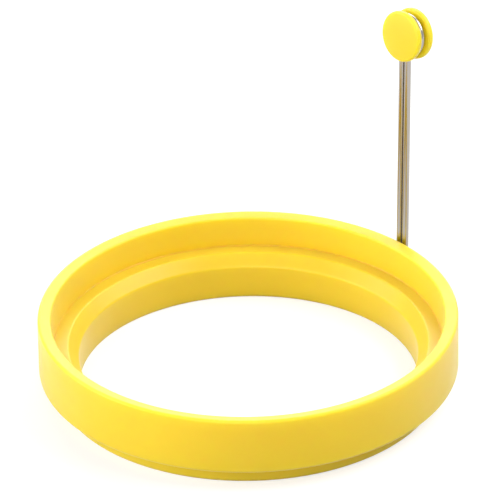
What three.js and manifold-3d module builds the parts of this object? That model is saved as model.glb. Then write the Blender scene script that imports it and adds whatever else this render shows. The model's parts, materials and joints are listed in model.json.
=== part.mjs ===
// Silicone egg ring with a wire handle that folds down at its side.
// Millimetres, +Z up. The origin is the centre of the foot, on the surface that the ring stands on.
// Three pieces: the moulded ring with its hinge lug, one bent wire, and the button held in the wire's loop.
import * as THREE from "three";
import { mergeVertices } from "three/addons/utils/BufferGeometryUtils.js";
import Module from "manifold-3d";

// Ring section, from the rim down to the foot.
const ringDiameter = 100;
const ringHeight = 19.2;
const rimWall = 3.2;
const rimFall = 0.55; // from the rim's outer edge down to its inner edge
const recessDepth = 7.8;
const recessDraft = 4.5; // degrees that the recess wall leans in
const ledgeWidth = 3.3;
const funnelSlope = 47; // degrees from level
const footWall = 5.5;
const footHeight = 4.8;
const stackClearance = 0.35; // between one ring's foot and the recess of the ring under it

// Rounded edges of the moulding.
const rimRounding = 0.7;
const recessRounding = 0.5;
const wallRounding = 0.9;
const creaseRounding = 0.3;
const ledgeRounding = 0.7;
const footRounding = 0.8;

// Wire: one length, bent into a loop with two strands and two pins.
const wireDiameter = 1.6;
const strandGap = 0.3;
const wireBend = 2; // centreline radius of the tight bends
const loopBore = 7.6;
const handleReach = 61; // along the handle, from the hinge to the middle of the loop
const loopTip = 7; // degrees that the loop is tipped back from the strands
const tipBend = 4; // centreline radius of the bend that tips it
const restLean = 1.3; // degrees that the raised handle leans away from the ring

// Hinge lug on the ring's outer wall.
const handleBearing = 45; // degrees from +X to the handle
const pivotDrop = 6.2; // from the rim down to the hinge
const fitClearance = 0.3; // round the wire, wherever it turns or seats
const lugCheek = 3.2; // each side of the hinge pocket
const lugWall = 1.5; // round the pin hole
const lugRoot = 1.5; // sunk into the ring's wall
const lugRounding = 0.6;
const pinRecess = 0.4; // wire end to the outside of its cheek

// Button in the loop.
const buttonOverhang = 0.8; // flange past the outside of the loop
const buttonFlange = 1.5;
const buttonCrown = 0.4;
const buttonRounding = 0.6;

// Facets.
const ringSegments = 96;
const buttonSegments = 40;
const wireSides = 10;
const holeSides = 20;
const filletSteps = 2;
const domeSteps = 4;
const bendStep = 15; // degrees of wire bend for each facet
const overcut = 1; // how far a cutting shape reaches past what it cuts

// Sizes that follow from those above.
const ringRadius = ringDiameter / 2;
const ledgeHeight = ringHeight - recessDepth;
const recessFloorRadius = ringRadius - rimWall - recessDepth * Math.tan(degrees(recessDraft));
const ledgeRadius = recessFloorRadius - ledgeWidth;
const footRadius = recessFloorRadius - stackClearance;
const mouthRadius = footRadius - footWall;
const mouthHeight = ledgeHeight - (ledgeRadius - mouthRadius) * Math.tan(degrees(funnelSlope));

const wireRadius = wireDiameter / 2;
const strandOffset = (wireDiameter + strandGap) / 2;
const loopRadius = loopBore / 2 + wireRadius;
const bendOffset = strandOffset + wireBend; // the tight bends' centres, to each side of the handle's middle
const neckReach = handleReach - Math.sqrt((loopRadius + wireBend) ** 2 - bendOffset ** 2);
const tipReach = neckReach - tipBend * degrees(loopTip); // where the tipping bend starts

const pivotRadius = ringRadius + fitClearance + wireRadius;
const pivotHeight = ringHeight - pivotDrop;
const pinHoleRadius = wireRadius + fitClearance;
const lugNose = pinHoleRadius + lugWall;
const pocketWidth = 2 * bendOffset;
const lugWidth = pocketWidth + 2 * lugCheek;
const pinReach = lugWidth / 2 - pinRecess;

const grooveWidth = wireDiameter + 2 * fitClearance;
const buttonCore = loopBore / 2 - fitClearance;
const buttonRadius = loopRadius + wireRadius + buttonOverhang;

const silicone = { color: 0xf6d432, roughness: 0.5, metalness: 0 };
const stainless = { color: 0xb9b6b0, roughness: 0.22, metalness: 1 };

const wasm = await Module();
wasm.setup();

function degrees(angle) {
  return THREE.MathUtils.degToRad(angle);
}

// A closed geometry as a solid that can be joined and cut.
function solidFrom(geometry) {
  const bare = geometry.clone();
  bare.deleteAttribute("normal");
  bare.deleteAttribute("uv");
  const merged = mergeVertices(bare, 1e-4);
  const vertProperties = merged.attributes.position.array;
  const triVerts = new Uint32Array(merged.index.array);
  return new wasm.Manifold(new wasm.Mesh({ numProp: 3, vertProperties, triVerts }));
}

function geometryFrom(solid) {
  const { vertProperties, triVerts } = solid.getMesh();
  const geometry = new THREE.BufferGeometry();
  geometry.setAttribute("position", new THREE.BufferAttribute(vertProperties, 3));
  geometry.setIndex(new THREE.BufferAttribute(triVerts, 1));
  geometry.computeVertexNormals();
  return geometry;
}

function piece(name, geometry, finish) {
  const mesh = new THREE.Mesh(geometry, new THREE.MeshStandardMaterial(finish));
  mesh.name = name;
  return mesh;
}

// A closed outline with each corner, given as [x, y, radius], turned into an arc.
// An arc takes at most half of the shorter side next to it.
function roundedOutline(corners) {
  const outline = [];
  corners.forEach(([x, y, radius], index) => {
    const corner = new THREE.Vector2(x, y);
    if (!radius) {
      outline.push(corner);
      return;
    }
    const [lastX, lastY] = corners.at(index - 1);
    const [nextX, nextY] = corners[(index + 1) % corners.length];
    const back = new THREE.Vector2(lastX, lastY).sub(corner);
    const ahead = new THREE.Vector2(nextX, nextY).sub(corner);
    const room = Math.min(back.length(), ahead.length()) / 2;
    const half = back.angleTo(ahead) / 2;
    const setback = Math.min(radius / Math.tan(half), room);
    const start = back.setLength(setback);
    const end = ahead.setLength(setback);
    const centre = start.clone().add(end).divideScalar(2 * Math.cos(half) ** 2);
    const turn = Math.PI - 2 * half;
    for (let step = 0; step <= filletSteps; step++) {
      const share = step / filletSteps;
      const fromStart = Math.sin((1 - share) * turn) / Math.sin(turn);
      const fromEnd = Math.sin(share * turn) / Math.sin(turn);
      const point = corner.clone().add(centre);
      point.addScaledVector(start.clone().sub(centre), fromStart);
      point.addScaledVector(end.clone().sub(centre), fromEnd);
      outline.push(point);
    }
  });
  return outline;
}

// The stepped ring: a rim that falls inwards, a drafted recess over a ledge and funnel, and a narrower foot that
// stacks in such a recess.
function ringWall() {
  const outline = roundedOutline([
    [mouthRadius, 0, footRounding],
    [footRadius, 0, footRounding],
    [footRadius, footHeight, creaseRounding],
    [ringRadius, footHeight, wallRounding],
    [ringRadius, ringHeight, rimRounding],
    [ringRadius - rimWall, ringHeight - rimFall, recessRounding],
    [recessFloorRadius, ledgeHeight, creaseRounding],
    [ledgeRadius, ledgeHeight, ledgeRounding],
    [mouthRadius, mouthHeight, wallRounding],
  ]);
  outline.push(outline[0].clone());
  return new THREE.LatheGeometry(outline, ringSegments).rotateX(Math.PI / 2);
}

// The lug's side view, from inside the wall, round a nose at the pin and back on a 45 degree buttress.
function lugBlock() {
  const rootX = ringRadius - lugRoot;
  const buttress = -Math.PI / 4;
  const noseX = pivotRadius + lugNose * Math.cos(buttress);
  const noseY = pivotHeight + lugNose * Math.sin(buttress);
  const side = new THREE.Shape();
  side.moveTo(rootX, pivotHeight + lugNose);
  side.lineTo(rootX, noseY - (noseX - rootX));
  side.lineTo(noseX, noseY);
  side.absarc(pivotRadius, pivotHeight, lugNose, buttress, Math.PI / 2, false);
  const block = new THREE.ExtrudeGeometry(side, {
    depth: lugWidth - 2 * lugRounding,
    curveSegments: 6,
    bevelThickness: lugRounding,
    bevelSize: lugRounding,
    bevelOffset: -lugRounding,
    bevelSegments: 2,
  });
  return block.translate(0, 0, lugRounding - lugWidth / 2).rotateX(Math.PI / 2);
}

// The pocket between the cheeks is open above and outward: its floor stops the handle when it lies level.
function lugPocket() {
  const floor = pivotHeight - pinHoleRadius;
  const depth = lugRoot + fitClearance + wireRadius + lugNose + 2 * overcut;
  const height = pinHoleRadius + lugNose + overcut;
  const pocket = new THREE.BoxGeometry(depth, pocketWidth, height);
  return pocket.translate(ringRadius - lugRoot - overcut + depth / 2, 0, floor + height / 2);
}

function pinHole() {
  const hole = new THREE.CylinderGeometry(pinHoleRadius, pinHoleRadius, lugWidth + 2 * overcut, holeSides);
  return hole.translate(pivotRadius, 0, pivotHeight);
}

function makeRing() {
  const lug = solidFrom(lugBlock()).subtract(solidFrom(lugPocket())).subtract(solidFrom(pinHole()));
  return geometryFrom(solidFrom(ringWall()).add(lug));
}

// A path through a list of points, with one facet for each stretch between them.
class WirePath extends THREE.Curve {
  constructor(points) {
    super();
    this.points = points;
  }

  getPoint(share, target = new THREE.Vector3()) {
    return target.copy(this.points[Math.round(share * (this.points.length - 1))]);
  }

  getPointAt(share, target) {
    return this.getPoint(share, target);
  }

  getTangentAt(share, target = new THREE.Vector3()) {
    const last = this.points.length - 1;
    const index = Math.round(share * last);
    const ahead = this.points[Math.min(index + 1, last)];
    const behind = this.points[Math.max(index - 1, 0)];
    return target.subVectors(ahead, behind).normalize();
  }
}

// Points of an arc in the handle's plane: across the handle, and along it from the hinge.
function bendPoints(across, along, radius, from, to) {
  const count = Math.ceil(Math.abs(to - from) / degrees(bendStep));
  return Array.from({ length: count + 1 }, (_, index) => {
    const angle = THREE.MathUtils.lerp(from, to, index / count);
    return new THREE.Vector3(0, across + radius * Math.cos(angle), along + radius * Math.sin(angle));
  });
}

// Where a point of the flat handle lies once its top is tipped back, away from the ring.
function tippedBack(point) {
  const past = Math.max(point.z - tipReach, 0);
  const turn = Math.min(past / tipBend, degrees(loopTip));
  const straight = past - tipBend * turn;
  const out = tipBend * (1 - Math.cos(turn)) + straight * Math.sin(turn);
  const up = tipBend * Math.sin(turn) + straight * Math.cos(turn);
  return new THREE.Vector3(out, point.y, point.z - past + up);
}

// One half of the wire: pin, hinge bend, strand, tipping bend, neck bend, and the loop up to its top.
function halfWire() {
  const neckAngle = Math.atan2(handleReach - neckReach, -bendOffset);
  const pinEnd = new THREE.Vector3(0, pinReach, 0);
  const pinBend = bendPoints(bendOffset, wireBend, wireBend, 1.5 * Math.PI, Math.PI);
  const neckBend = bendPoints(bendOffset, neckReach, wireBend, Math.PI, neckAngle);
  const loop = bendPoints(0, handleReach, loopRadius, neckAngle - Math.PI, Math.PI / 2);
  const tipStart = new THREE.Vector3(0, strandOffset, tipReach);
  return [pinEnd, ...pinBend, tipStart, ...neckBend, ...loop.slice(1)].map(tippedBack);
}

function makeWire() {
  const right = halfWire();
  const left = right.slice(0, -1).map((point) => new THREE.Vector3(point.x, -point.y, point.z));
  const points = [...right, ...left.reverse()];
  const section = new THREE.Shape().absarc(0, 0, wireRadius, 0, 2 * Math.PI);
  return new THREE.ExtrudeGeometry(section, {
    steps: points.length - 1,
    curveSegments: wireSides / 2,
    extrudePath: new WirePath(points),
  });
}

// The button is a spool: two domed flanges on a core that fills the loop, with the wire in the groove between.
function makeButton() {
  const groove = grooveWidth / 2;
  const face = groove + buttonFlange;
  const half = [[buttonCore, groove, 0], [buttonRadius, groove, buttonRounding]];
  for (let step = domeSteps; step >= 0; step--) {
    const share = step / domeSteps;
    const rounding = step === domeSteps ? buttonRounding : 0;
    half.push([buttonRadius * share, face + buttonCrown * (1 - share ** 2), rounding]);
  }
  const otherHalf = half.map(([radius, along, rounding]) => [radius, -along, rounding]).reverse();
  const outline = roundedOutline([...otherHalf, ...half]);
  return new THREE.LatheGeometry(outline, buttonSegments).rotateZ(-Math.PI / 2);
}

const handle = new THREE.Group();
handle.position.set(pivotRadius, 0, pivotHeight);
handle.rotation.y = degrees(restLean);
const button = piece("silicone_button", makeButton(), silicone);
button.position.copy(tippedBack(new THREE.Vector3(0, 0, handleReach)));
button.rotation.y = degrees(loopTip);
handle.add(piece("wire_handle", makeWire(), stainless), button);

const turned = new THREE.Group();
turned.rotation.z = degrees(handleBearing);
turned.add(piece("silicone_ring", makeRing(), silicone), handle);

const eggRing = new THREE.Group();
eggRing.add(turned);

export default eggRing;
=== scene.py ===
"""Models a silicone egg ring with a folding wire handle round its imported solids, on a white table."""

import json
import math

import bmesh
import bpy
from bpy.props import FloatProperty, FloatVectorProperty, PointerProperty
from mathutils import Matrix, Vector


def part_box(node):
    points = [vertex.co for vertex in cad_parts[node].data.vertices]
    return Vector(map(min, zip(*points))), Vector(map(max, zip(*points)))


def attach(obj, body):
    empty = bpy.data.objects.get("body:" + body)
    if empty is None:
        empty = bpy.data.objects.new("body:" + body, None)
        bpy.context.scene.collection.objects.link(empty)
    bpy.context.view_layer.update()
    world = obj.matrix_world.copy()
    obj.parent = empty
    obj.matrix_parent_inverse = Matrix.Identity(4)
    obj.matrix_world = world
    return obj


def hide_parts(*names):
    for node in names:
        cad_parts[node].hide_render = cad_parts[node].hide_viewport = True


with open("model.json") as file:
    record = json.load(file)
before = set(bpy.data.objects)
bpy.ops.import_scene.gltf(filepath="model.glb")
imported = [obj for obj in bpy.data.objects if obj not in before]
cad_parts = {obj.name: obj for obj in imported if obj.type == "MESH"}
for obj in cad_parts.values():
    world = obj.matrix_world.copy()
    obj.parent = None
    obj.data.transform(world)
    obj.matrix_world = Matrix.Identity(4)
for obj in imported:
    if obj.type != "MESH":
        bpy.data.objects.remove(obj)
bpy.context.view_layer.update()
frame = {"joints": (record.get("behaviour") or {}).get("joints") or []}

bl_info = {
    "name": "Egg Ring",
    "version": (1, 0, 0),
    "blender": (4, 5, 0),
    "location": "3D View > Sidebar > Egg Ring",
    "description": "Models a silicone egg ring with its wire handle and button, on a white table",
    "category": "Add Mesh",
}

MM = 0.001
RING_LOW, RING_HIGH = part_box("silicone_ring")
PIVOT = Vector(frame["joints"][0]["pos_m"])
PIVOT_RADIUS = PIVOT.xy.length
BEARING = math.atan2(PIVOT.y, PIVOT.x)

# Facets, fine enough that no outline looks cut.
RING_STEPS = 240
BUTTON_STEPS = 96
ROUNDING_STEPS = 6
NOSE_STEPS = 18
HOLE_STEPS = 40
DOME_STEPS = 12
LUG_EDGE_STEPS = 4
WIRE_SIDES = 28
WIRE_END_STEPS = 3
TIP_STEPS = 4
BEND_STEP = math.radians(6)
SMOOTH_ANGLE = math.radians(35)
SAME_PLACE = 0.002 * MM

BUTTRESS = math.radians(45)  # lean of the lug's underside, from upright
OVERCUT = MM  # how far the pocket's cutting block starts behind the lug

# A colour mix has several sockets of one name, so its sockets go by number.
MIX_SHARE, MIX_FIRST, MIX_SECOND, MIX_RESULT = 0, 6, 7, 2
NOISE_LOW, NOISE_HIGH = 0.3, 0.7  # nearly all of a noise lies between these

# Where each softbox stands, its width and its height, in metres.
SOFTBOXES = {
    "key": ((-1.8, -0.24, 0.62), 1.6, 1.1),
    "fill": ((1.3, 0.1, 1.4), 1.6, 1.4),
    "front": ((-0.4, -1.75, 0.9), 1.8, 1.2),
    "back": ((0, 1.7, 1.1), 2.0, 1.3),
}
TABLE_SIZE = 4
SENSOR_WIDTH = 36


def linear(hex_colour):
    """An sRGB hex colour as linear red, green and blue."""
    channels = [int(hex_colour[place:place + 2], 16) / 255 for place in (0, 2, 4)]
    return [c / 12.92 if c <= 0.04045 else ((c + 0.055) / 1.055) ** 2.4 for c in channels]


def length(name, description, millimetres):
    """A length property, given in millimetres and kept in metres."""
    return FloatProperty(
        name=name, description=description, default=millimetres * MM, precision=5, unit="LENGTH"
    )


def angle(name, description, degrees):
    """An angle property, given in degrees and kept in radians."""
    return FloatProperty(
        name=name, description=description, default=math.radians(degrees), unit="ROTATION"
    )


def level(name, description, default):
    """A plain level, such as a lamp's power."""
    return FloatProperty(name=name, description=description, default=default, min=0)


def colour(name, description, hex_colour):
    """A colour property, given as sRGB hex and kept linear."""
    return FloatVectorProperty(
        name=name,
        description=description,
        default=linear(hex_colour),
        size=3,
        min=0,
        max=1,
        subtype="COLOR",
    )


class RingSizes(bpy.types.PropertyGroup):
    """The ring's section, from the rim down to the foot, and the lug on its wall."""

    diameter: length("Diameter", "Across the outer wall", (RING_HIGH.x - RING_LOW.x) / MM)
    height: length("Height", "From the table to the rim", RING_HIGH.z / MM)
    rim_wall: length("Rim wall", "Thickness of the wall at the rim", 3.2)
    rim_fall: length("Rim fall", "From the rim's outer edge down to its inner edge", 0.55)
    recess_depth: length("Recess depth", "From the rim down to the ledge", 7.8)
    recess_draft: angle("Recess draft", "Lean of the recess wall", 4.5)
    ledge_width: length("Ledge width", "Flat part of the ledge", 3.3)
    funnel_slope: angle("Funnel slope", "Slope of the funnel under the ledge, from level", 47)
    foot_wall: length("Foot wall", "Thickness of the foot", 5.5)
    foot_height: length("Foot height", "From the table to the step", 4.8)
    stack_clearance: length("Stack clearance", "From the foot to the recess of a ring under it", 0.35)
    rim_rounding: length("Rim rounding", "Radius of the rim's outer edge", 0.7)
    recess_rounding: length("Recess rounding", "Radius of the rim's inner edge", 0.5)
    wall_rounding: length("Wall rounding", "Radius of the wall's lower edge and of the mouth", 0.9)
    crease_rounding: length("Crease rounding", "Radius in the recess and under the step", 0.3)
    ledge_rounding: length("Ledge rounding", "Radius of the ledge's inner edge", 0.7)
    foot_rounding: length("Foot rounding", "Radius of the foot's edges", 0.8)
    cheek: length("Lug cheek", "Each side of the hinge pocket", 3.2)
    lug_wall: length("Lug wall", "Silicone round the pin hole", 1.5)
    lug_root: length("Lug root", "How far the lug is sunk into the wall", 1.5)
    lug_rounding: length("Lug rounding", "Radius of the lug's edges", 0.45)


class HandleSizes(bpy.types.PropertyGroup):
    """The bent wire, and the button in its loop."""

    wire: length("Wire", "Diameter of the wire", 1.6)
    strand_gap: length("Strand gap", "Between the two strands", 0.3)
    bend: length("Bend", "Centreline radius of the tight bends", 2)
    loop_bore: length("Loop bore", "Inside of the loop", 7.6)
    reach: length("Reach", "Along the handle, from the hinge to the middle of the loop", 61)
    tip: angle("Loop tip", "How far the loop is tipped back from the strands", 7)
    tip_bend: length("Tip bend", "Centreline radius of the bend that tips the loop", 4)
    lean: angle("Lean", "Lean of the raised handle, away from the ring", 1.3)
    clearance: length("Clearance", "Round the wire, wherever it turns or seats", 0.3)
    pin_recess: length("Pin recess", "From a wire end to the outside of its cheek", 0.4)
    end_rounding: length("End rounding", "Edge of the cut wire", 0.2)
    overhang: length("Button overhang", "Flange past the outside of the loop", 0.8)
    flange: length("Button flange", "Thickness of a flange at its edge", 1.5)
    crown: length("Button crown", "Height of the domed face", 0.4)
    button_rounding: length("Button rounding", "Radius of the flange's edges", 0.6)


class Finishes(bpy.types.PropertyGroup):
    """Colours of the silicone, the wire and the table."""

    silicone: colour("Silicone", "Moulded yellow silicone", "E9CB1A")
    silicone_deep: colour("Deep silicone", "The same pigment where it lies thicker", "E3C316")
    steel: colour("Stainless steel", "Drawn stainless wire", "B0AAA2")
    table: colour("Table", "White table under the ring", "B4B4B4")


class StageSettings(bpy.types.PropertyGroup):
    """The camera's place and the lamps' levels."""

    azimuth: angle("Azimuth", "Camera's bearing round the ring", 2.37)
    elevation: angle("Elevation", "Camera's height over the table", 30.7)
    roll: angle("Roll", "Camera's turn about its own axis", -0.95)
    distance: length("Distance", "From the camera to the middle of the foot", 1660)
    aim_up: length("Aim up", "From the foot's middle up to the picture's, in the view", 31.49)
    aim_right: length("Aim right", "From the foot's middle right to the picture's, in the view", 0.25)
    lens: level("Lens", "Focal length on a 36 mm sensor, in millimetres", 500.4)
    ambient: level("Ambient", "Light from all round", 0.2)
    key: level("Key", "Power of the softbox at the left, in watts", 32)
    fill: level("Fill", "Power of the softbox at the right, in watts", 33)
    front: level("Front", "Power of the softbox in front, in watts", 25)
    back: level("Back", "Power of the softbox behind, in watts", 27)
    table_lift: level("Table lift", "How far the table is lifted towards white", 0.62)


class EggRingSettings(bpy.types.PropertyGroup):
    """All that can be set, in one place."""

    ring: PointerProperty(type=RingSizes)
    handle: PointerProperty(type=HandleSizes)
    finish: PointerProperty(type=Finishes)
    stage: PointerProperty(type=StageSettings)


def start_afresh():
    """Leaves nothing selected, so that the next operator acts only on what it adds."""
    bpy.ops.object.select_all(action="DESELECT")
    bpy.context.view_layer.objects.active = None


def take_up(piece):
    """Selects the piece alone, so that the next operator acts only on it."""
    start_afresh()
    bpy.context.view_layer.objects.active = piece
    piece.select_set(True)


def begin_editing():
    """Goes into edit mode with every vertex selected."""
    bpy.ops.object.mode_set(mode="EDIT")
    bpy.ops.mesh.select_mode(type="VERT")
    bpy.ops.mesh.select_all(action="SELECT")


def select_places(test):
    """In edit mode, selects the vertices whose place passes the test, and what lies between them."""
    bpy.ops.mesh.select_all(action="DESELECT")
    mesh = bpy.context.object.data
    shape = bmesh.from_edit_mesh(mesh)
    for vertex in shape.verts:
        vertex.select_set(bool(test(vertex.co)))
    shape.select_flush(True)
    bmesh.update_edit_mesh(mesh)


def close_skin():
    """Merges what meets, turns the faces outwards and leaves edit mode."""
    bpy.ops.mesh.select_all(action="SELECT")
    bpy.ops.mesh.remove_doubles(threshold=SAME_PLACE)
    bpy.ops.mesh.normals_make_consistent(inside=False)
    bpy.ops.object.mode_set(mode="OBJECT")


def draw_outline(name, corners):
    """Draws a flat face in the XZ plane through corners (x, z, rounding), and stays in edit mode."""
    start_afresh()
    bpy.ops.mesh.primitive_plane_add(size=MM)
    drawn = bpy.context.object
    drawn.name = name
    begin_editing()
    bpy.ops.mesh.merge(type="CENTER")
    places = [Vector((x, 0, z)) for x, z, _ in corners]
    bpy.ops.transform.translate(value=places[0])
    for last, place in zip(places, places[1:]):
        bpy.ops.mesh.extrude_vertices_move(TRANSFORM_OT_translate={"value": place - last})
    bpy.ops.mesh.select_all(action="SELECT")
    bpy.ops.mesh.edge_face_add()
    for count, (_, _, rounding) in enumerate(corners):
        if rounding:
            corner = places[count]
            back = places[count - 1] - corner
            ahead = places[(count + 1) % len(places)] - corner
            select_places(lambda place: (place - corner).length < SAME_PLACE)
            bpy.ops.mesh.bevel(
                affect="VERTICES",
                offset=rounding / math.tan(back.angle(ahead) / 2),
                segments=ROUNDING_STEPS,
            )
    return drawn


def turn_outline(axis, steps):
    """Turns the outline in hand right round an axis through the origin, into a closed skin."""
    bpy.ops.mesh.select_all(action="SELECT")
    bpy.ops.mesh.delete(type="ONLY_FACE")
    bpy.ops.mesh.select_mode(type="EDGE")
    select_places(lambda place: place.cross(Vector(axis)).length < SAME_PLACE)
    bpy.ops.mesh.delete(type="EDGE")
    bpy.ops.mesh.select_mode(type="VERT")
    bpy.ops.mesh.select_all(action="SELECT")
    bpy.ops.mesh.spin(steps=steps, angle=math.tau, center=(0, 0, 0), axis=axis)
    close_skin()


def apply_modifier(piece, kind, **settings):
    """Adds a modifier with its settings to the piece, and applies it."""
    take_up(piece)
    bpy.ops.object.modifier_add(type=kind)
    modifier = piece.modifiers[-1]
    for name, value in settings.items():
        setattr(modifier, name, value)
    bpy.ops.object.modifier_apply(modifier=modifier.name)


def combine(piece, tool, operation):
    """Joins the tool to the piece, or cuts it from the piece, and removes the tool."""
    apply_modifier(piece, "BOOLEAN", operation=operation, object=tool)
    bpy.data.objects.remove(tool)


def finish_piece(piece, place, material, body, node):
    """Puts the piece in its place, shades and finishes it, and hands it to its body."""
    take_up(piece)
    piece.matrix_world = place
    bpy.ops.object.transform_apply(location=True, rotation=True, scale=True)
    bpy.ops.object.shade_smooth_by_angle(angle=SMOOTH_ANGLE)
    apply_modifier(piece, "WEIGHTED_NORMAL", keep_sharp=True)
    piece.data.materials.clear()
    piece.data.materials.append(material)
    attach(piece, body)
    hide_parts(node)


def add_node(tree, kind, inputs=None, **settings):
    """Adds a node with its settings, and each input given as a value or as the output that feeds it."""
    node = tree.nodes.new(kind)
    for name, value in settings.items():
        setattr(node, name, value)
    for name, value in (inputs or {}).items():
        if isinstance(value, bpy.types.NodeSocket):
            tree.links.new(value, node.inputs[name])
        else:
            node.inputs[name].default_value = value
    return node


def new_material(name):
    """An empty material and its node tree, or the finished one that already has the name, and None."""
    if name in bpy.data.materials:
        return bpy.data.materials[name], None
    material = bpy.data.materials.new(name)
    material.use_nodes = True
    material.node_tree.nodes.clear()
    return material, material.node_tree


def moulded_silicone(finish):
    """Pigmented silicone rubber, moulded in a finely blasted tool.

    The pigment gives a deep even yellow with slow, faint clouds. Light goes a few millimetres into
    it, so the creases and the thick corners are deeper in colour than the walls. The skin is satin:
    white surroundings show on it only at a low angle, which makes the rim and the edges of the
    walls pale.
    """
    material, tree = new_material("moulded_yellow_silicone")
    if tree is None:
        return material
    cloud_size = 14 * MM
    patch_size = 6 * MM
    grain_size = 0.6 * MM  # the tool's real grain is about 0.1 mm, drawn coarser here so that it shows
    grain_depth = 0.05 * MM
    light_reach = 4.5 * MM
    reach_shares = (0.8, 1, 0.2)  # how far red, green and blue go in, as shares of the reach
    place = add_node(tree, "ShaderNodeTexCoord").outputs["Object"]
    clouds = add_node(
        tree, "ShaderNodeTexNoise", {"Vector": place, "Scale": 1 / cloud_size, "Detail": 3}
    )
    pigment = add_node(
        tree,
        "ShaderNodeMix",
        {
            MIX_SHARE: clouds.outputs["Fac"],
            MIX_FIRST: (*finish.silicone, 1),
            MIX_SECOND: (*finish.silicone_deep, 1),
        },
        data_type="RGBA",
    )
    patches = add_node(
        tree, "ShaderNodeTexNoise", {"Vector": place, "Scale": 1 / patch_size, "Detail": 4}
    )
    gloss = add_node(
        tree,
        "ShaderNodeMapRange",
        {
            "Value": patches.outputs["Fac"],
            "From Min": NOISE_LOW,
            "From Max": NOISE_HIGH,
            "To Min": 0.34,
            "To Max": 0.42,
        },
    )
    grain = add_node(
        tree, "ShaderNodeTexNoise", {"Vector": place, "Scale": 1 / grain_size, "Detail": 2}
    )
    bump = add_node(
        tree,
        "ShaderNodeBump",
        {"Height": grain.outputs["Fac"], "Strength": 0.12, "Distance": grain_depth},
    )
    skin = add_node(
        tree,
        "ShaderNodeBsdfPrincipled",
        {
            "Base Color": pigment.outputs[MIX_RESULT],
            "Roughness": gloss.outputs["Result"],
            "Normal": bump.outputs["Normal"],
            "IOR": 1.41,
            "Subsurface Weight": 1,
            "Subsurface Radius": reach_shares,
            "Subsurface Scale": light_reach,
            "Sheen Weight": 0.15,
            "Sheen Roughness": 0.5,
        },
    )
    add_node(tree, "ShaderNodeOutputMaterial", {"Surface": skin.outputs["BSDF"]})
    return material


def drawn_stainless(finish):
    """Stainless wire, drawn bright.

    It mirrors what stands round it, stretched along the wire, with fine draw lines that break the
    reflection up, and a painted shade that darkens the steel a little along the lines.
    """
    material, tree = new_material("bright_drawn_stainless_wire")
    if tree is None:
        return material
    line_width = 0.3 * MM  # real draw lines are a few hundredths of a millimetre, too fine to show
    line_length = 12 * MM
    line_depth = 0.02 * MM
    line_painted_shade = 0.86  # painted shade: the share of the steel's colour left at the bottom of a line
    place = add_node(tree, "ShaderNodeTexCoord").outputs["Object"]
    stretched = add_node(
        tree,
        "ShaderNodeMapping",
        {"Vector": place, "Scale": (1 / line_width, 1 / line_width, 1 / line_length)},
    )
    lines = add_node(
        tree, "ShaderNodeTexNoise", {"Vector": stretched.outputs["Vector"], "Scale": 1, "Detail": 3}
    )
    gloss = add_node(
        tree,
        "ShaderNodeMapRange",
        {
            "Value": lines.outputs["Fac"],
            "From Min": NOISE_LOW,
            "From Max": NOISE_HIGH,
            "To Min": 0.12,
            "To Max": 0.2,
        },
    )
    # painted shade: the steel is darkened a little along the draw lines
    tone = add_node(
        tree,
        "ShaderNodeMix",
        {
            MIX_SHARE: lines.outputs["Fac"],
            MIX_FIRST: (*finish.steel, 1),
            MIX_SECOND: (*[channel * line_painted_shade for channel in finish.steel], 1),
        },
        data_type="RGBA",
    )
    bump = add_node(
        tree,
        "ShaderNodeBump",
        {"Height": lines.outputs["Fac"], "Strength": 0.08, "Distance": line_depth},
    )
    metal = add_node(
        tree,
        "ShaderNodeBsdfPrincipled",
        {
            "Base Color": tone.outputs[MIX_RESULT],
            "Metallic": 1,
            "Roughness": gloss.outputs["Result"],
            "Normal": bump.outputs["Normal"],
        },
    )
    add_node(tree, "ShaderNodeOutputMaterial", {"Surface": metal.outputs["BSDF"]})
    return material


def seen_directly(tree):
    """1 for what the camera sees, also by way of a mirror or glass, and 0 for what only lights."""
    path = add_node(tree, "ShaderNodeLightPath")
    mirrored = add_node(
        tree,
        "ShaderNodeMath",
        {0: path.outputs["Is Camera Ray"], 1: path.outputs["Is Glossy Ray"]},
        operation="MAXIMUM",
    )
    either = add_node(
        tree,
        "ShaderNodeMath",
        {0: mirrored.outputs[0], 1: path.outputs["Is Transmission Ray"]},
        operation="MAXIMUM",
    )
    return either.outputs[0]


def white_table(finish, stage):
    """Matt white laminate. It looks white and keeps a soft shadow, and the lift lights nothing."""
    material, tree = new_material("matt_white_laminate")
    if tree is None:
        return material
    laminate = add_node(tree, "ShaderNodeBsdfDiffuse", {"Color": (*finish.table, 1)})
    lift = add_node(
        tree, "ShaderNodeMath", {0: seen_directly(tree), 1: stage.table_lift}, operation="MULTIPLY"
    )
    glow = add_node(tree, "ShaderNodeEmission", {"Strength": lift.outputs[0]})
    lifted = add_node(tree, "ShaderNodeAddShader", {0: laminate.outputs[0], 1: glow.outputs[0]})
    add_node(tree, "ShaderNodeOutputMaterial", {"Surface": lifted.outputs[0]})
    return material


def white_room(stage):
    """Surroundings that look white and light the object at the ambient level."""
    world = bpy.data.worlds.new("white_room")
    bpy.context.scene.world = world
    world.use_nodes = True
    tree = world.node_tree
    tree.nodes.clear()
    strength = add_node(
        tree,
        "ShaderNodeMapRange",
        {"Value": seen_directly(tree), "To Min": stage.ambient, "To Max": 1},
    )
    room = add_node(tree, "ShaderNodeBackground", {"Strength": strength.outputs["Result"]})
    add_node(tree, "ShaderNodeOutputWorld", {"Surface": room.outputs["Background"]})


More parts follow.
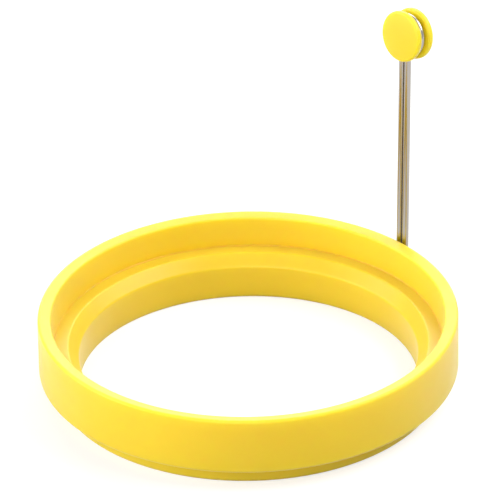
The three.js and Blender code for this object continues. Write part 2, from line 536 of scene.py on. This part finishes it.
def ring_section(ring):
    """Corners of the ring's section, from the mouth's foot outwards, up, and down the recess."""
    radius = ring.diameter / 2
    ledge_height = ring.height - ring.recess_depth
    recess_floor = radius - ring.rim_wall - ring.recess_depth * math.tan(ring.recess_draft)
    ledge_edge = recess_floor - ring.ledge_width
    foot = recess_floor - ring.stack_clearance
    mouth = foot - ring.foot_wall
    mouth_height = ledge_height - (ledge_edge - mouth) * math.tan(ring.funnel_slope)
    return [
        (mouth, 0, ring.foot_rounding),
        (foot, 0, ring.foot_rounding),
        (foot, ring.foot_height, ring.crease_rounding),
        (radius, ring.foot_height, ring.wall_rounding),
        (radius, ring.height, ring.rim_rounding),
        (radius - ring.rim_wall, ring.height - ring.rim_fall, ring.recess_rounding),
        (recess_floor, ledge_height, ring.crease_rounding),
        (ledge_edge, ledge_height, ring.ledge_rounding),
        (mouth, mouth_height, ring.wall_rounding),
    ]


def hinge_lug(ring, handle):
    """The lug on the wall, at bearing 0: a nose round the pin on a buttress, with a pocket and a hole."""
    hole = handle.wire / 2 + handle.clearance
    nose = hole + ring.lug_wall
    root = ring.diameter / 2 - ring.lug_root
    pocket_width = handle.wire + handle.strand_gap + 2 * handle.bend
    width = pocket_width + 2 * ring.cheek
    sweep = math.pi / 2 + BUTTRESS
    turns = [sweep * step / NOSE_STEPS - BUTTRESS for step in range(NOSE_STEPS + 1)]
    round_nose = [
        (PIVOT_RADIUS + nose * math.cos(turn), PIVOT.z + nose * math.sin(turn), 0) for turn in turns
    ]
    buttress_foot = round_nose[0][1] - (round_nose[0][0] - root) / math.tan(BUTTRESS)
    wall_side = [(root, PIVOT.z + nose, 0), (root, buttress_foot, 0)]
    lug = draw_outline("hinge_lug", [*wall_side, *round_nose])
    bpy.ops.mesh.select_all(action="SELECT")
    bpy.ops.transform.translate(value=(0, -width / 2, 0))
    bpy.ops.mesh.extrude_region_move(TRANSFORM_OT_translate={"value": (0, width, 0)})
    close_skin()

    pocket_depth = 4 * nose
    pocket_height = 2 * nose
    pocket_floor = PIVOT.z - hole
    bpy.ops.mesh.primitive_cube_add(size=1)
    pocket = bpy.context.object
    pocket.scale = (pocket_depth, pocket_width, pocket_height)
    pocket.location = (root - OVERCUT + pocket_depth / 2, 0, pocket_floor + pocket_height / 2)
    bpy.ops.object.transform_apply(location=True, scale=True)
    combine(lug, pocket, "DIFFERENCE")

    bpy.ops.mesh.primitive_cylinder_add(
        vertices=HOLE_STEPS,
        radius=hole,
        depth=2 * width,
        location=(PIVOT_RADIUS, 0, PIVOT.z),
        rotation=(math.pi / 2, 0, 0),
    )
    drill = bpy.context.object
    combine(lug, drill, "DIFFERENCE")
    apply_modifier(
        lug,
        "BEVEL",
        width=ring.lug_rounding,
        segments=LUG_EDGE_STEPS,
        limit_method="ANGLE",
        angle_limit=SMOOTH_ANGLE,
    )
    return lug


class EGGRING_OT_add_ring(bpy.types.Operator):
    """Adds the silicone ring: a stepped section turned round its axis, with the hinge lug on its wall"""

    bl_idname = "egg_ring.add_ring"
    bl_label = "Add Ring Moulding"

    def execute(self, context):
        settings = context.scene.egg_ring
        lug = hinge_lug(settings.ring, settings.handle)
        ring = draw_outline("ring_moulding", ring_section(settings.ring))
        turn_outline((0, 0, 1), RING_STEPS)
        combine(ring, lug, "UNION")
        place = Matrix.Rotation(BEARING, 4, "Z")
        silicone = moulded_silicone(settings.finish)
        finish_piece(ring, place, silicone, "ring", "silicone_ring")
        return {"FINISHED"}


def handle_place(handle):
    """Where the handle's own frame stands: its hinge at the origin, and its strands along Z."""
    turned = Matrix.Rotation(BEARING, 4, "Z") @ Matrix.Rotation(handle.lean, 4, "Y")
    return Matrix.Translation(PIVOT) @ turned


def neck_reach(handle):
    """Along the handle, from the hinge to where the strands part to go round the loop."""
    loop = (handle.loop_bore + handle.wire) / 2
    bend_centre = (handle.wire + handle.strand_gap) / 2 + handle.bend
    return handle.reach - math.sqrt((loop + handle.bend) ** 2 - bend_centre ** 2)


def tip_centre(handle):
    """The centre of the bend that tips the loop back."""
    return Vector((handle.tip_bend, 0, neck_reach(handle) - handle.tip_bend * handle.tip))


def tipped_plane(handle):
    """Takes a place in the flat handle, past the tip bend, to where it lies with the loop tipped back."""
    centre = tip_centre(handle)
    pulled_in = Matrix.Translation((0, 0, -handle.tip_bend * handle.tip))
    turned = Matrix.Rotation(handle.tip, 4, "Y") @ pulled_in
    return Matrix.Translation(centre) @ turned @ Matrix.Translation(-centre)


def pull_wire(across, along):
    """Draws the wire's end on, straight."""
    bpy.ops.mesh.extrude_region_move(TRANSFORM_OT_translate={"value": (0, across, along)})


def bend_wire(plane, across, along, turn):
    """Bends the wire's end on, round a centre in the plane given; a positive turn is from Y towards Z."""
    steps = math.ceil(abs(turn) / BEND_STEP)
    centre = plane @ Vector((0, across, along))
    axis = plane.to_3x3() @ Vector((-1, 0, 0))
    bpy.ops.mesh.spin(steps=steps, angle=turn, center=centre, axis=axis)


def tip_wire(handle, turn):
    """Bends a strand back, away from the ring, or forward again if the turn is negative."""
    bpy.ops.mesh.spin(steps=TIP_STEPS, angle=turn, center=tip_centre(handle), axis=(0, -1, 0))


class EGGRING_OT_add_wire(bpy.types.Operator):
    """Adds the handle's wire: pin, strand, loop, strand and pin, bent from one length"""

    bl_idname = "egg_ring.add_wire"
    bl_label = "Add Handle Wire"

    def execute(self, context):
        settings = context.scene.egg_ring
        ring, handle = settings.ring, settings.handle
        bend_centre = (handle.wire + handle.strand_gap) / 2 + handle.bend
        loop = (handle.loop_bore + handle.wire) / 2
        neck = neck_reach(handle)
        tip_start = tip_centre(handle).z
        neck_turn = math.acos(bend_centre / (loop + handle.bend))
        pin_end = bend_centre + ring.cheek - handle.pin_recess
        start_afresh()
        bpy.ops.mesh.primitive_circle_add(
            vertices=WIRE_SIDES,
            radius=handle.wire / 2,
            location=(0, pin_end, 0),
            rotation=(math.pi / 2, 0, 0),
        )
        wire = bpy.context.object
        wire.name = "handle_wire"
        bpy.ops.object.transform_apply(location=True, rotation=True)
        begin_editing()
        flat = Matrix.Identity(4)
        tipped = tipped_plane(handle)
        pull_wire(bend_centre - pin_end, 0)
        bend_wire(flat, bend_centre, handle.bend, -math.pi / 2)
        pull_wire(0, tip_start - handle.bend)
        tip_wire(handle, handle.tip)
        bend_wire(tipped, bend_centre, neck, -neck_turn)
        bend_wire(tipped, 0, handle.reach, math.pi + 2 * neck_turn)
        bend_wire(tipped, -bend_centre, neck, -neck_turn)
        tip_wire(handle, -handle.tip)
        pull_wire(0, handle.bend - tip_start)
        bend_wire(flat, -bend_centre, handle.bend, -math.pi / 2)
        pull_wire(bend_centre - pin_end, 0)
        bpy.ops.mesh.select_all(action="SELECT")
        bpy.ops.mesh.fill_holes(sides=0)
        for end in (pin_end, -pin_end):
            select_places(lambda place: abs(place.y - end) < SAME_PLACE)
            bpy.ops.mesh.bevel(offset=handle.end_rounding, segments=WIRE_END_STEPS)
        close_skin()
        steel = drawn_stainless(settings.finish)
        finish_piece(wire, handle_place(handle), steel, "handle", "wire_handle")
        return {"FINISHED"}


def button_section(handle):
    """Corners of half the button's section, from the middle of one domed face to that of the other."""
    loop = (handle.loop_bore + handle.wire) / 2
    radius = loop + handle.wire / 2 + handle.overhang
    core = handle.loop_bore / 2 - handle.clearance
    groove = handle.wire / 2 + handle.clearance
    face = groove + handle.flange
    half = [(groove, core, handle.button_rounding / 2), (groove, radius, handle.button_rounding)]
    for step in range(DOME_STEPS, -1, -1):
        share = step / DOME_STEPS
        rounding = handle.button_rounding if step == DOME_STEPS else 0
        half.append((face + handle.crown * (1 - share ** 2), radius * share, rounding))
    return [(-along, out, rounding) for along, out, rounding in reversed(half)] + half


class EGGRING_OT_add_button(bpy.types.Operator):
    """Adds the silicone button: a spool with domed flanges, turned round its axis, in the wire's loop"""

    bl_idname = "egg_ring.add_button"
    bl_label = "Add Button"

    def execute(self, context):
        settings = context.scene.egg_ring
        handle = settings.handle
        button = draw_outline("button_spool", button_section(handle))
        turn_outline((1, 0, 0), BUTTON_STEPS)
        loop_middle = Matrix.Translation((0, 0, handle.reach))
        place = handle_place(handle) @ tipped_plane(handle) @ loop_middle
        silicone = moulded_silicone(settings.finish)
        finish_piece(button, place, silicone, "handle", "silicone_button")
        return {"FINISHED"}


def add_softbox(name, place, width, height, power):
    """A soft rectangular lamp, turned to the ring."""
    start_afresh()
    bpy.ops.object.light_add(type="AREA", location=place)
    lamp = bpy.context.object
    lamp.name = name
    lamp.rotation_mode = "QUATERNION"
    lamp.rotation_quaternion = (-Vector(place)).to_track_quat("-Z", "Y")
    lamp.data.shape = "RECTANGLE"
    lamp.data.size = width
    lamp.data.size_y = height
    lamp.data.energy = power


def add_camera(stage):
    """The scene's camera, at its bearing and height round the ring, aimed and rolled as set."""
    back = Vector((
        math.sin(stage.azimuth) * math.cos(stage.elevation),
        -math.cos(stage.azimuth) * math.cos(stage.elevation),
        math.sin(stage.elevation),
    ))
    level_right = Vector((math.cos(stage.azimuth), math.sin(stage.azimuth), 0))
    right = Matrix.Rotation(stage.roll, 3, back) @ level_right
    aim = back.cross(right) * stage.aim_up + right * stage.aim_right
    start_afresh()
    bpy.ops.object.camera_add(location=back * stage.distance)
    camera = bpy.context.object
    camera.name = "camera"
    camera.rotation_mode = "QUATERNION"
    facing = (aim - camera.location).to_track_quat("-Z", "Y")
    camera.rotation_quaternion = facing @ Matrix.Rotation(stage.roll, 3, "Z").to_quaternion()
    camera.data.sensor_width = SENSOR_WIDTH
    camera.data.lens = stage.lens
    bpy.context.scene.camera = camera


class EGGRING_OT_set_stage(bpy.types.Operator):
    """Sets the stage: white table, white room, four softboxes and the camera"""

    bl_idname = "egg_ring.set_stage"
    bl_label = "Set Stage"

    def execute(self, context):
        settings = context.scene.egg_ring
        stage = settings.stage
        start_afresh()
        bpy.ops.mesh.primitive_plane_add(size=TABLE_SIZE)
        table = bpy.context.object
        table.name = "table"
        table.data.materials.append(white_table(settings.finish, stage))
        white_room(stage)
        for name, (place, width, height) in SOFTBOXES.items():
            add_softbox(f"{name}_softbox", place, width, height, getattr(stage, name))
        add_camera(stage)
        context.scene.view_settings.view_transform = "Standard"
        return {"FINISHED"}


class EGGRING_PT_sidebar(bpy.types.Panel):
    """The egg ring's operators, with its sizes, finishes and stage settings"""

    bl_idname = "EGGRING_PT_sidebar"
    bl_label = "Egg Ring"
    bl_space_type = "VIEW_3D"
    bl_region_type = "UI"
    bl_category = "Egg Ring"

    def draw(self, context):
        for operator in OPERATORS:
            self.layout.operator(operator.bl_idname)
        for group in EggRingSettings.__annotations__:
            values = getattr(context.scene.egg_ring, group)
            box = self.layout.box()
            for name in type(values).__annotations__:
                box.prop(values, name)


GROUPS = (RingSizes, HandleSizes, Finishes, StageSettings, EggRingSettings)
OPERATORS = (EGGRING_OT_add_ring, EGGRING_OT_add_wire, EGGRING_OT_add_button, EGGRING_OT_set_stage)
CLASSES = (*GROUPS, *OPERATORS, EGGRING_PT_sidebar)


def register():
    for kind in CLASSES:
        bpy.utils.register_class(kind)
    bpy.types.Scene.egg_ring = PointerProperty(type=EggRingSettings)


def unregister():
    del bpy.types.Scene.egg_ring
    for kind in reversed(CLASSES):
        bpy.utils.unregister_class(kind)


def main():
    register()
    bpy.ops.egg_ring.add_ring()
    bpy.ops.egg_ring.add_wire()
    bpy.ops.egg_ring.add_button()
    bpy.ops.egg_ring.set_stage()


if __name__ == "__main__":
    main()
